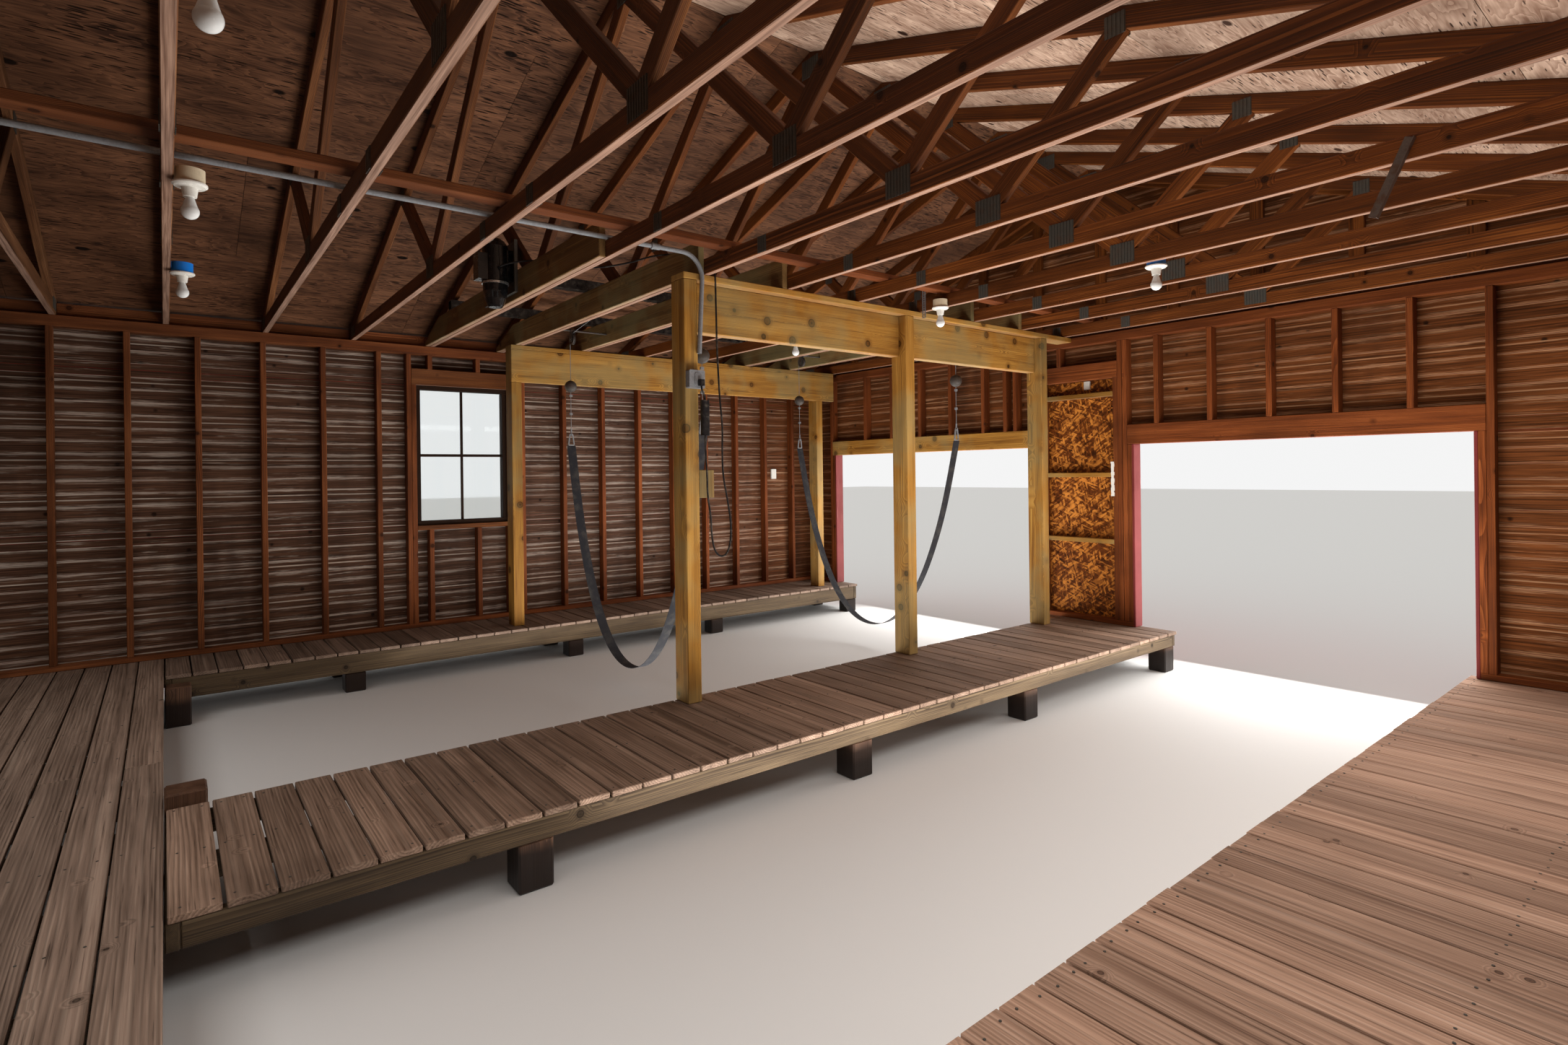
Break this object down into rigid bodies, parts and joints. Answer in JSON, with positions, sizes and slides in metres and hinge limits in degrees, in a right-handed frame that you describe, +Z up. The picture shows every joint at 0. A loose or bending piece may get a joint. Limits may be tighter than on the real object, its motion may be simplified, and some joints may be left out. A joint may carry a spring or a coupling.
{
  "type": "boathouse",
  "caption": "Timber boathouse over two boat slips, with bare stud walls, a truss roof, plank decks and an overhead boat hoist.",
  "frame": {"origin": "middle of the footprint, at the level where the piles meet the water", "axes": "+Z up, the lake wall with the boat openings faces -Y, the ridge runs along Y, the window wall of the picture is at +X"},
  "size_m": [8.258, 9.1974, 4.151],
  "materials": {
    "old_lumber": "aged unpainted softwood",
    "new_pine": "new treated pine, green tint",
    "deck_wood": "weathered deck boards",
    "wet_wood": "dark wet piles",
    "red_siding": "barn red paint outside",
    "strand_board": "oriented strand board",
    "plywood": "aged plywood",
    "trim_paint": "barn red painted trim",
    "shingles": "asphalt shingles",
    "window_frame": "dark stained frame",
    "glass": "clear window glass",
    "galvanised": "galvanised steel",
    "black_steel": "black painted steel",
    "webbing": "black webbing",
    "porcelain": "white porcelain",
    "bulb_glass": "frosted bulb",
    "blue_plastic": "blue plastic box",
    "black_plastic": "black plastic"
  },
  "bodies": {
    "root": {"back_deck": "deck_wood", "back_deck_frame": "deck_wood", "back_sling": "webbing", "barge_boards": "trim_paint", "beam_caps": "new_pine", "cable_balls": "galvanised", "cable_fittings": "galvanised", "conduit": "galvanised", "corner_boards": "trim_paint", "dock_frames": "deck_wood", "doorway_panel": "strand_board", "doorway_shelves": "old_lumber", "eave_blocks": "old_lumber", "eave_fascias": "trim_paint", "end_wall_headers": "old_lumber", "end_wall_plates": "old_lumber", "end_wall_siding": "red_siding", "end_wall_studs": "old_lumber", "finger_pier": "deck_wood", "gable_siding": "red_siding", "gable_studs": "old_lumber", "hoist_beams": "new_pine", "hoist_joists": "new_pine", "hoist_motor": "black_steel", "hoist_posts": "new_pine", "hoist_tubes": "black_steel", "lake_sling": "webbing", "lamp_boxes": "blue_plastic", "lamp_bulbs": "bulb_glass", "lamp_holders": "porcelain", "lift_cables": "galvanised", "lift_wheel_cheeks": "galvanised", "lift_wheels": "galvanised", "motor_cord": "black_plastic", "motor_flange": "galvanised", "motor_plate": "black_steel", "opening_jambs": "trim_paint", "outlet_box": "galvanised", "piles": "wet_wood", "plug_and_breaker": "black_plastic", "plug_cord": "black_plastic", "ridge_cap": "shingles", "right_deck": "deck_wood", "roof_sheathing": "plywood", "roof_shingles": "shingles", "side_wall_plates": "old_lumber", "side_wall_siding": "red_siding", "side_wall_studs": "old_lumber", "truss_bottom_chords": "old_lumber", "truss_runner": "old_lumber", "truss_top_chords": "old_lumber", "truss_webs": "old_lumber", "window_band_siding": "red_siding", "window_frames": "window_frame", "window_headers_and_sills": "old_lumber", "window_panes": "glass", "window_walkway": "deck_wood"}
  },
  "joints": []
}
